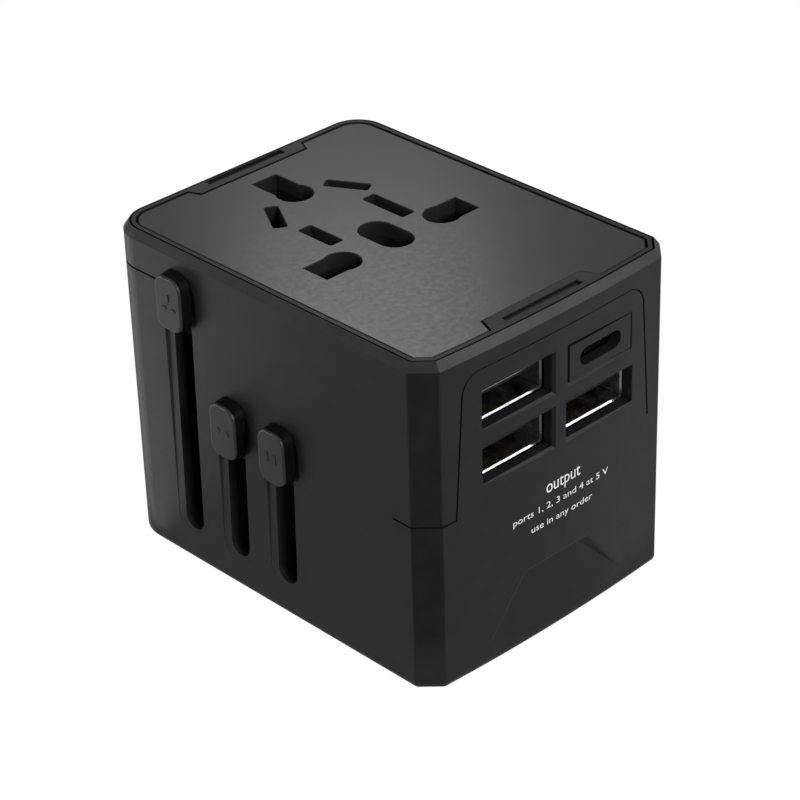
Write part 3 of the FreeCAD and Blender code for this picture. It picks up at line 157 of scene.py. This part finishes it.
class Nodes:
    """Short hand for building one material's node tree."""

    def __init__(self, name: str) -> None:
        """Start a material with a bare shader.

        Args:
            name: Name of the material.
        """
        self.material = bpy.data.materials.new(name)
        self.material.use_nodes = True
        self.tree = self.material.node_tree
        self.shader = self.tree.nodes["Principled BSDF"]
        self.place = self.tree.nodes.new("ShaderNodeTexCoord").outputs["Object"]

    def glowing(self, strength: float) -> None:
        """Make the surface an even white glow with no gloss.

        Args:
            strength: How bright it is.
        """
        self.shader.inputs["Base Color"].default_value = (*BLACK, 1.0)
        self.shader.inputs["Specular IOR Level"].default_value = 0.0
        self.shader.inputs["Emission Color"].default_value = (1.0, 1.0, 1.0, 1.0)
        self.shader.inputs["Emission Strength"].default_value = strength

    def link(self, source: bpy.types.NodeSocket, target: bpy.types.NodeSocket) -> None:
        """Join an output to an input."""
        self.tree.links.new(source, target)

    def noise(self, size: float, detail: float = 3.0, roughness: float = 0.55) -> bpy.types.NodeSocket:
        """A cloud pattern.

        Args:
            size: Size of its features in metres.
            detail: Octaves of finer clouds.
            roughness: Strength of the finer clouds.

        Returns:
            Its value, about 0.3 to 0.7.
        """
        node = self.tree.nodes.new("ShaderNodeTexNoise")
        node.inputs["Scale"].default_value = 1.0 / size
        node.inputs["Detail"].default_value = detail
        node.inputs["Roughness"].default_value = roughness
        self.link(self.place, node.inputs["Vector"])
        return node.outputs["Fac"]

    def cells(self, size: float) -> bpy.types.NodeSocket:
        """A pattern of small round pits.

        Args:
            size: Distance between the pits in metres.

        Returns:
            Distance to the nearest pit's centre.
        """
        node = self.tree.nodes.new("ShaderNodeTexVoronoi")
        node.inputs["Scale"].default_value = 1.0 / size
        self.link(self.place, node.inputs["Vector"])
        return node.outputs["Distance"]

    def remap(self, value: bpy.types.NodeSocket, low: float, high: float, out_low: float, out_high: float,
              ) -> bpy.types.NodeSocket:
        """A value carried from one range to another, held at its ends.

        Args:
            value: The value to carry over.
            low: Start of its range.
            high: End of its range.
            out_low: What the start becomes.
            out_high: What the end becomes.

        Returns:
            The new value.
        """
        node = self.tree.nodes.new("ShaderNodeMapRange")
        for name, number in (("From Min", low), ("From Max", high), ("To Min", out_low), ("To Max", out_high)):
            node.inputs[name].default_value = number
        self.link(value, node.inputs["Value"])
        return node.outputs["Result"]

    def math(self, kind: Operation, first: bpy.types.NodeSocket, second: bpy.types.NodeSocket | float,
             ) -> bpy.types.NodeSocket:
        """A sum, product or other small operation.

        Args:
            kind: The operation.
            first: First value.
            second: Second value, a socket or a plain number.

        Returns:
            The result.
        """
        node = self.tree.nodes.new("ShaderNodeMath")
        node.operation = kind.value
        self.link(first, node.inputs[0])
        if isinstance(second, (int, float)):
            node.inputs[1].default_value = second
        else:
            self.link(second, node.inputs[1])
        return node.outputs["Value"]

    def blend(self, amount: bpy.types.NodeSocket, low: Sequence[float], high: Sequence[float],
              ) -> bpy.types.NodeSocket:
        """A colour between two, by an amount from 0 to 1.

        Args:
            amount: How far towards the second colour.
            low: First colour.
            high: Second colour.

        Returns:
            The mixed colour.
        """
        node = self.tree.nodes.new("ShaderNodeMix")
        node.data_type = "RGBA"
        node.inputs[6].default_value = (*low, 1.0)
        node.inputs[7].default_value = (*high, 1.0)
        self.link(amount, node.inputs[0])
        return node.outputs[2]

    def cover(self, amount: bpy.types.NodeSocket, under: bpy.types.NodeSocket, over: Sequence[float],
              ) -> bpy.types.NodeSocket:
        """A plain colour laid over another colour.

        Args:
            amount: How much of the plain colour shows, 0 to 1.
            under: The colour below.
            over: The plain colour.

        Returns:
            The mixed colour.
        """
        node = self.tree.nodes.new("ShaderNodeMix")
        node.data_type = "RGBA"
        self.link(amount, node.inputs[0])
        self.link(under, node.inputs[6])
        node.inputs[7].default_value = (*over, 1.0)
        return node.outputs[2]

    def bump(self, height: bpy.types.NodeSocket, distance: float, strength: float,
             ) -> bpy.types.NodeSocket:
        """A relief laid on the surface.

        Args:
            height: The relief's height, 0 to 1.
            distance: Height of 1 in metres.
            strength: How much of it shows.

        Returns:
            The new normal.
        """
        node = self.tree.nodes.new("ShaderNodeBump")
        node.inputs["Distance"].default_value = distance
        node.inputs["Strength"].default_value = strength
        self.link(height, node.inputs["Height"])
        return node.outputs["Normal"]

    def depth_mask(self, high: np.ndarray) -> bpy.types.NodeSocket:
        """Where a surface lies inside the casing: in a port window, a slider
        slot or a pin hole, and not on the outer skin.

        A point is inside when its distance from the middle is short of the
        side wall, of the bowed end wall and of the cut corner, and its level
        is between the base and the top. The end wall's limit is deeper low
        down, where the finger hollow is.

        Args:
            high: The casing's highest corner; it is centred on the axis.

        Returns:
            The mask, 0 on the skin and 1 inside.
        """
        split = self.tree.nodes.new("ShaderNodeSeparateXYZ")
        self.link(self.place, split.inputs[0])
        x, y = (self.math(Operation.ABSOLUTE, split.outputs[i], 0.0) for i in (0, 1))
        z = split.outputs[2]
        bow = self.math(Operation.MULTIPLY, self.math(Operation.MULTIPLY, x, x), FRONT_BOW)
        hollow = self.remap(z, HOLLOW_TOP - SKIN_FADE, HOLLOW_TOP, HOLLOW_DEPTH, 0.0)
        end = self.math(Operation.ADD, self.math(Operation.ADD, y, bow), hollow)
        limits = (
            (x, float(high[0]) - SKIN_DEPTH),
            (end, float(high[1]) - SKIN_DEPTH),
            (self.math(Operation.ADD, x, y), float(high[0] + high[1]) - CHAMFER_DEPTH),
            (z, float(high[2]) - BEZEL_SEAT),
        )
        whole = self.remap(z, SKIN_DEPTH, SKIN_DEPTH + SKIN_FADE, 0.0, 1.0)
        for value, limit in limits:
            outside = self.remap(value, limit - SKIN_FADE, limit, 1.0, 0.0)
            whole = self.math(Operation.MULTIPLY, whole, outside)
        return whole

    def rim_mask(self, low: np.ndarray, high: np.ndarray, width: float) -> bpy.types.NodeSocket:
        """Where a box's edges are: 1 on an edge and 0 a width away from it.

        The distance from each pair of faces is carried to 0 to 1, and the
        largest product of two of the three is the mask.

        Args:
            low: The box's lowest corner.
            high: The box's highest corner.
            width: Width of the worn band in metres.

        Returns:
            The mask.
        """
        split = self.tree.nodes.new("ShaderNodeSeparateXYZ")
        self.link(self.place, split.inputs[0])
        near = []
        for axis in range(3):
            middle, half = (low[axis] + high[axis]) / 2, (high[axis] - low[axis]) / 2
            offset = self.math(Operation.SUBTRACT, split.outputs[axis], float(middle))
            size = self.math(Operation.ABSOLUTE, offset, 0.0)
            near.append(self.remap(size, float(half - width), float(half), 0.0, 1.0))
        pairs = [self.math(Operation.MULTIPLY, near[a], near[b]) for a, b in ((0, 1), (1, 2), (0, 2))]
        return self.math(Operation.MAXIMUM, self.math(Operation.MAXIMUM, pairs[0], pairs[1]), pairs[2])


@dataclass(frozen=True)
class MouldedPlastic:
    """A moulded plastic skin: fine spark-eroded grain, faint smears, worn edges and, where asked, painted
    shade.
    """

    name: str
    color: tuple[float, float, float]
    roughness: float = 0.42
    grain: float = 0.16 * MM
    relief: float = 0.006 * MM
    smear: float = 0.04
    specular: float = 0.3
    specular_tint: tuple[float, float, float] = (1.0, 1.0, 1.0)
    wear: float = 0.0
    worn_box: tuple[tuple[float, ...], tuple[float, ...]] | None = None
    # hollow asks for painted shade, black, on the walls inside the casing's openings; the next field gives a
    # level under which walls get the same painted shade
    hollow: bool = False
    painted_shade_below: float | None = None

    def painted_shade_mask(self, nodes: Nodes) -> bpy.types.NodeSocket | None:
        """Where painted shade goes: inside the casing's openings or below a level.

        Args:
            nodes: The material's nodes.

        Returns:
            The mask, or None when the whole skin is alike.
        """
        if self.hollow:
            return nodes.depth_mask(np.array(self.worn_box[1]))
        if self.painted_shade_below is not None:
            split = nodes.tree.nodes.new("ShaderNodeSeparateXYZ")
            nodes.link(nodes.place, split.inputs[0])
            return nodes.remap(split.outputs[2], self.painted_shade_below - 0.05 * MM, self.painted_shade_below, 1.0, 0.0)
        return None

    def material(self) -> bpy.types.Material:
        """Build the material.

        Returns:
            The finished material.
        """
        nodes = Nodes(self.name)
        shader = nodes.shader
        shader.inputs["Specular IOR Level"].default_value = self.specular
        shader.inputs["Specular Tint"].default_value = (*self.specular_tint, 1.0)
        pits = nodes.cells(self.grain)
        fine = nodes.noise(self.grain * 2.2, 2.0)
        relief = nodes.math(Operation.ADD, pits, fine)
        nodes.link(nodes.bump(relief, self.relief, 0.5), shader.inputs["Normal"])
        clouds = nodes.noise(CLOUD_SIZE, 4.0)
        specks = nodes.noise(SPECK_SIZE, 3.0)
        base = nodes.remap(clouds, 0.3, 0.7, self.roughness - self.smear, self.roughness + self.smear)
        rough = nodes.math(Operation.ADD, base, nodes.remap(specks, 0.3, 0.7, -0.03, 0.03))
        tint = nodes.remap(nodes.noise(TINT_SIZE, 5.0), 0.35, 0.7, 0.0, 1.0)
        dark = tuple(channel * 0.86 for channel in self.color)
        light = tuple(channel * 1.16 + 0.0006 for channel in self.color)
        color = nodes.blend(tint, dark, light)
        if self.worn_box is not None:
            low, high = np.array(self.worn_box[0]), np.array(self.worn_box[1])
            mask = nodes.rim_mask(low, high, WORN_BAND)
            broken = nodes.remap(nodes.noise(CHIP_SIZE, 5.0, 0.7), 0.42, 0.62, 0.0, 1.0)
            worn = nodes.math(Operation.MULTIPLY, nodes.math(Operation.MULTIPLY, mask, broken), self.wear)
            bare = tuple(channel * 2.2 + 0.004 for channel in self.color)
            color = nodes.cover(worn, color, bare)
            rough = nodes.math(Operation.SUBTRACT, rough, nodes.math(Operation.MULTIPLY, worn, 0.12))
        # painted shade: the masked walls are painted black and made rougher, standing in for the shade inside
        # openings and in the gaps between parts
        dull = self.painted_shade_mask(nodes)
        if dull is not None:
            color = nodes.cover(dull, color, BLACK)
            rough = nodes.math(Operation.MAXIMUM, rough, nodes.remap(dull, 0.0, 1.0, 0.0, DULL_ROUGHNESS))
        nodes.link(color, shader.inputs["Base Color"])
        nodes.link(rough, shader.inputs["Roughness"])
        return nodes.material


@dataclass(frozen=True)
class PlatedMetal:
    """A plated or stamped metal: fine drawn lines and clouded lustre."""

    name: str
    color: tuple[float, float, float]
    roughness: float = 0.22
    drawn: float = 0.05 * MM
    stretch: tuple[float, float, float] = (1.0, 12.0, 1.0)
    relief: float = 0.004 * MM

    def material(self) -> bpy.types.Material:
        """Build the material.

        Returns:
            The finished material.
        """
        nodes = Nodes(self.name)
        shader = nodes.shader
        shader.inputs["Metallic"].default_value = 1.0
        mapping = nodes.tree.nodes.new("ShaderNodeMapping")
        mapping.inputs["Scale"].default_value = tuple(1.0 / factor for factor in self.stretch)
        nodes.link(nodes.place, mapping.inputs["Vector"])
        lines = nodes.tree.nodes.new("ShaderNodeTexNoise")
        lines.inputs["Scale"].default_value = 1.0 / self.drawn
        lines.inputs["Detail"].default_value = 2.0
        nodes.link(mapping.outputs["Vector"], lines.inputs["Vector"])
        nodes.link(nodes.bump(lines.outputs["Fac"], self.relief, 0.4), shader.inputs["Normal"])
        clouds = nodes.noise(2.5 * MM, 4.0)
        fine = nodes.remap(lines.outputs["Fac"], 0.3, 0.7, -0.05, 0.05)
        base = nodes.remap(clouds, 0.3, 0.7, self.roughness - 0.06, self.roughness + 0.1)
        nodes.link(nodes.math(Operation.ADD, base, fine), shader.inputs["Roughness"])
        dull = tuple(channel * 0.8 for channel in self.color)
        lustre = nodes.remap(clouds, 0.35, 0.7, 0.0, 1.0)
        nodes.link(nodes.blend(lustre, self.color, dull), shader.inputs["Base Color"])
        return nodes.material


def dress(slot: str, material: bpy.types.Material) -> None:
    """Give every CAD node of one of the record's material slots a finish.

    Args:
        slot: Name of the slot in the record.
        material: The finish.
    """
    for part in frame["record"]["subparts"]:
        if part["material_slot"] == slot:
            mesh = NODES[part["node"]].data
            mesh.materials.clear()
            mesh.materials.append(material)


@dataclass
class Finishes:
    """All the finishes of the adapter, one per material slot of the record."""

    made: dict[str, bpy.types.Material] = field(default_factory=dict)

    def build(self) -> None:
        """Make each finish and put it on the CAD nodes of its slot."""
        case_low, case_high = span("upper_shell")
        case_low = np.minimum(case_low, span("lower_shell")[0])
        box = (tuple(case_low), tuple(case_high))
        top = float(case_high[2])
        plate_box = tuple(tuple(corner) for corner in span("socket_plate"))
        self.made = {
            # painted shade: shell_black is painted black inside its openings; bezel_black and plate_black are
            # painted black on their walls below the top face, in the gaps between parts
            "shell_black": MouldedPlastic(
                "shell_black", (0.011, 0.0108, 0.0105), 0.36, wear=0.35, worn_box=box,
                hollow=True).material(),
            "bezel_black": MouldedPlastic(
                "bezel_black", (0.011, 0.0108, 0.0105), 0.36, painted_shade_below=top - 0.03 * MM).material(),
            "plate_black": MouldedPlastic(
                "plate_black", (0.014, 0.0142, 0.0155), 0.2, 0.3 * MM, 0.0, 0.0, 0.5,
                (0.95, 0.93, 1.0), wear=0.15, worn_box=plate_box,
                painted_shade_below=plate_box[1][2] - 0.05 * MM).material(),
            # painted shade: the knob body is painted near black with little gloss to stand for the shade on
            # its side walls, while the cap stays a lighter grey
            "knob_black": MouldedPlastic("knob_black", (0.003, 0.003, 0.003), 0.5, specular=0.08).material(),
            "knob_cap": MouldedPlastic("knob_cap", (0.026, 0.0255, 0.025), 0.4, specular=0.35).material(),
            "inner_plastic": MouldedPlastic("inner_plastic", (0.008, 0.008, 0.008), 0.5).material(),
            "shutter_grey": MouldedPlastic("shutter_grey", (0.010, 0.010, 0.010), 0.45).material(),
            "pin_plastic": MouldedPlastic("pin_plastic", (0.012, 0.012, 0.012), 0.4).material(),
            "port_plastic": MouldedPlastic("port_plastic", (0.010, 0.010, 0.010), 0.45).material(),
            "window_grey": MouldedPlastic(
                "window_grey", (0.03, 0.03, 0.032), 0.3, 0.12 * MM, 0.002 * MM).material(),
            "fuse_ceramic": MouldedPlastic("fuse_ceramic", (0.7, 0.68, 0.62), 0.35).material(),
            "board_green": MouldedPlastic("board_green", (0.012, 0.085, 0.03), 0.35).material(),
            "winding_tape": MouldedPlastic("winding_tape", (0.55, 0.4, 0.04), 0.4).material(),
            "capacitor_sleeve": MouldedPlastic("capacitor_sleeve", (0.02, 0.025, 0.07), 0.3).material(),
            "chip_black": MouldedPlastic("chip_black", (0.012, 0.012, 0.012), 0.5).material(),
            "lamp_clear": MouldedPlastic("lamp_clear", (0.6, 0.6, 0.55), 0.2).material(),
            "port_nickel": PlatedMetal("port_nickel", (0.9, 0.9, 0.91), 0.16).material(),
            "plug_nickel": PlatedMetal("plug_nickel", (0.62, 0.60, 0.56), 0.2, stretch=(1, 1, 12)).material(),
            "fuse_cap": PlatedMetal("fuse_cap", (0.6, 0.6, 0.6), 0.25).material(),
            "gold_contact": PlatedMetal("gold_contact", (0.85, 0.62, 0.25), 0.2).material(),
            "contact_brass": PlatedMetal("contact_brass", (0.7, 0.5, 0.2), 0.3).material(),
            "screw_steel": PlatedMetal("screw_steel", (0.45, 0.45, 0.46), 0.32).material(),
            "spring_steel": PlatedMetal("spring_steel", (0.5, 0.5, 0.5), 0.3).material(),
            "ferrite_grey": PlatedMetal("ferrite_grey", (0.12, 0.12, 0.13), 0.5).material(),
        }
        for slot, material in self.made.items():
            dress(slot, material)
            LOG.info("finish %s", slot)


# ------------------------------------------------------------------- studio
@dataclass(frozen=True)
class Card:
    """A flat studio card that only the reflections show."""

    name: str
    outline: tuple[tuple[float, float], ...]
    glow: float

    def build(self, level: float) -> None:
        """Lay the card flat.

        Args:
            level: Its height.
        """
        corners = np.array([(x, y, level) for x, y in self.outline])
        sheet = mesh_object(self.name, corners, np.array([[0, 1, 2, 3]]))
        nodes = Nodes(self.name)
        nodes.glowing(self.glow)
        sheet.data.materials.append(nodes.material)
        sheet.visible_camera = False
        sheet.visible_diffuse = False
        sheet.visible_shadow = False
        LOG.info("card %s", self.name)


@dataclass(frozen=True)
class Lamp:
    """One soft rectangular lamp, its width and height in metres and its power in watts."""

    name: str
    place: tuple[float, float, float]
    aim: tuple[float, float, float]
    size: tuple[float, float]
    power: float

    def build(self) -> None:
        """Hang the lamp and point it."""
        data = bpy.data.lights.new(self.name, "AREA")
        data.shape = "RECTANGLE"
        data.size, data.size_y = self.size
        data.energy = self.power
        lamp = bpy.data.objects.new(self.name, data)
        lamp.location = self.place
        away = Vector(self.place) - Vector(self.aim)
        lamp.rotation_euler = away.to_track_quat("Z", "Y").to_euler()
        bpy.context.scene.collection.objects.link(lamp)
        LOG.info("lamp %s", self.name)


@dataclass
class Studio:
    """Floor, soft lights, surroundings and camera."""

    azimuth: float = -43.421
    elevation: float = 30.751
    roll: float = -1.751
    distance: float = 0.39728
    target: tuple[float, float, float] = (-0.13 * MM, -1.29 * MM, 24.48 * MM)
    lens: float = 125.56
    sensor: float = 36.0
    floor_half: float = 3.0
    glow: float = 0.385
    corner_card: tuple[float, float, float, float] = (0.045, 0.40, 0.03, 0.12)
    cards: tuple[Card, ...] = (
        Card("card_side", ((-0.026, 0.026), (-0.096, 0.100), (-0.096, 0.30), (-0.026, 0.30)), 1.3),
        Card("card_right", ((0.010, -0.034), (0.080, -0.107), (0.30, -0.107), (0.30, -0.034)), 0.55),
    )
    lamps: tuple[Lamp, ...] = (
        Lamp("plate", (0.568, 0.622, 0.573), (0.0, 0.0, 0.051), (0.122, 0.157), 0.138),
        Lamp("left", (-0.55, 0.75, 0.05), (0.0, 0.0, 0.03), (0.4, 0.3), 2.6),
        Lamp("front_bevel", (0.56, -0.68, 0.444), (0.0, -0.03, 0.05), (0.35, 0.35), 1.7),
        Lamp("side_bevel", (-0.45, 0.38, 0.06), (-0.02, 0.0, 0.05), (0.25, 0.12), 0.4),
        Lamp("key", (-0.25, -0.9, 0.55), (0.0, 0.0, 0.03), (0.25, 0.25), 7.0),
    )

    def build(self) -> None:
        """Make the whole studio."""
        self.floor()
        self.lay_cards()
        self.surroundings()
        for lamp in self.lamps:
            lamp.build()
        self.camera()

    def camera(self) -> None:
        """Put the camera on its orbit, looking at the target with a slight roll."""
        azimuth, elevation, roll = (math.radians(v) for v in (self.azimuth, self.elevation, self.roll))
        back = Vector((
            math.sin(azimuth) * math.cos(elevation),
            -math.cos(azimuth) * math.cos(elevation),
            math.sin(elevation),
        ))
        level = (-back).cross(Vector((0, 0, 1))).normalized()
        up = level.cross(-back)
        right = math.cos(roll) * level + math.sin(roll) * up
        top = -math.sin(roll) * level + math.cos(roll) * up
        data = bpy.data.cameras.new("camera")
        data.lens = self.lens
        data.sensor_width = self.sensor
        data.clip_start = 0.01
        data.clip_end = 20.0
        camera = bpy.data.objects.new("camera", data)
        place = Matrix((right, top, back)).transposed().to_4x4()
        place.translation = Vector(self.target) + back * self.distance
        camera.matrix_world = place
        bpy.context.scene.collection.objects.link(camera)
        bpy.context.scene.camera = camera

    def floor(self) -> None:
        """A plain white floor. It looks white and lights the adapter more softly."""
        half = self.floor_half
        low = float(CAD_BOX[0][2]) - 0.02 * MM
        axis = np.array([-half, half])
        x, y = np.meshgrid(axis, axis, indexing="ij")
        sheet = surface("floor", np.stack([x, y, np.full_like(x, low)], axis=-1))
        nodes = Nodes("floor_white")
        nodes.glowing(self.glow)
        seen = nodes.tree.nodes.new("ShaderNodeLightPath").outputs["Is Camera Ray"]
        nodes.link(nodes.remap(seen, 0.0, 1.0, self.glow, 1.0), nodes.shader.inputs["Emission Strength"])
        sheet.data.materials.append(nodes.material)

    def lay_cards(self) -> None:
        """Cards on the floor that the upright faces mirror: a dark one in
        front of the cut corner, a bright one beside the knob side's far end
        and a mild one beside the port face's right end."""
        level = float(CAD_BOX[0][2]) + 0.5 * MM
        azimuth = math.radians(self.azimuth)
        away = np.array([math.sin(azimuth), -math.cos(azimuth)])
        across = np.array([-away[1], away[0]])
        near, far, near_half, far_half = self.corner_card
        outline = (away * near - across * near_half, away * near + across * near_half,
                   away * far + across * far_half, away * far - across * far_half)
        Card("card_front", tuple(map(tuple, outline)), 0.09).build(level)
        for card in self.cards:
            card.build(level)

    def surroundings(self) -> None:
        """An even surround that looks white and lights the adapter more softly."""
        world = bpy.data.worlds.new("surround")
        world.use_nodes = True
        ground = world.node_tree.nodes["Background"]
        ground.inputs["Color"].default_value = (1.0, 1.0, 1.0, 1.0)
        seen = world.node_tree.nodes.new("ShaderNodeLightPath").outputs["Is Camera Ray"]
        level = world.node_tree.nodes.new("ShaderNodeMapRange")
        level.inputs["To Min"].default_value = self.glow
        world.node_tree.links.new(seen, level.inputs["Value"])
        world.node_tree.links.new(level.outputs["Result"], ground.inputs["Strength"])
        bpy.context.scene.world = world
        bpy.context.scene.view_settings.view_transform = "Standard"


# ------------------------------------------------------------ printed lines
def face_y(x: np.ndarray) -> np.ndarray:
    """Where the bowed port face lies at a given x.

    Args:
        x: Distance from the middle of the face.

    Returns:
        Its y.
    """
    return FACE_Y + FRONT_BOW * x ** 2


@dataclass(frozen=True)
class PrintedLine:
    """One line of generic wording printed on the port face."""

    name: str
    words: str
    middle: tuple[float, float]
    size: float
    width: float

    def build(self, material: bpy.types.Material) -> bpy.types.Object:
        """Make the line as thin letters that follow the bowed face.

        Args:
            material: The ink.

        Returns:
            The line's mesh.
        """
        curve = bpy.data.curves.new(self.name + "_curve", "FONT")
        curve.body = self.words
        curve.size = self.size
        curve.align_x = "CENTER"
        curve.align_y = "CENTER"
        curve.resolution_u = 4
        source = bpy.data.objects.new(self.name + "_source", curve)
        bpy.context.scene.collection.objects.link(source)
        bpy.context.view_layer.update()
        mesh = bpy.data.meshes.new_from_object(source)
        bpy.data.objects.remove(source)
        flat = np.empty(len(mesh.vertices) * 3)
        mesh.vertices.foreach_get("co", flat)
        points = flat.reshape(-1, 3)
        spread = points[:, 0].max() - points[:, 0].min()
        centre = (points[:, 0].max() + points[:, 0].min()) / 2
        x = (points[:, 0] - centre) * self.width / spread + self.middle[0]
        z = points[:, 1] + self.middle[1]
        points = np.stack([x, face_y(x) - INK_THICK, z], axis=1)
        faces = [list(face.vertices) for face in mesh.polygons]
        bpy.data.meshes.remove(mesh)
        letters = bpy.data.meshes.new(self.name)
        letters.from_pydata(points.tolist(), [], faces)
        letters.update()
        letters.materials.append(material)
        line = bpy.data.objects.new(self.name, letters)
        bpy.context.scene.collection.objects.link(line)
        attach(line, "case")
        return line


@dataclass(frozen=True)
class PortFacePrint:
    """The generic wording below the ports."""

    lines: tuple[PrintedLine, ...] = (
        PrintedLine("print_title", "output", (1.2 * MM, 23.9 * MM), 2.9 * MM, 6.8 * MM),
        PrintedLine("print_ports", "ports 1, 2, 3 and 4 at 5 V", (0.9 * MM, 21.0 * MM), 1.45 * MM, 19.0 * MM),
        PrintedLine("print_use", "use in any order", (1.0 * MM, 18.4 * MM), 1.45 * MM, 12.2 * MM),
    )

    def build(self) -> None:
        """Print every line in one ink."""
        ink = MouldedPlastic("print_ink", (0.8, 0.8, 0.8), 0.5, 0.1 * MM, 0.001 * MM, specular=0.2).material()
        for line in self.lines:
            line.build(ink)
            LOG.info("print %s", line.name)


def main() -> None:
    """Build the studio, the finishes and every piece in order."""
    logging.basicConfig(level=logging.INFO)
    Studio().build()
    Finishes().build()
    PortFacePrint().build()


if __name__ == "__main__":
    main()
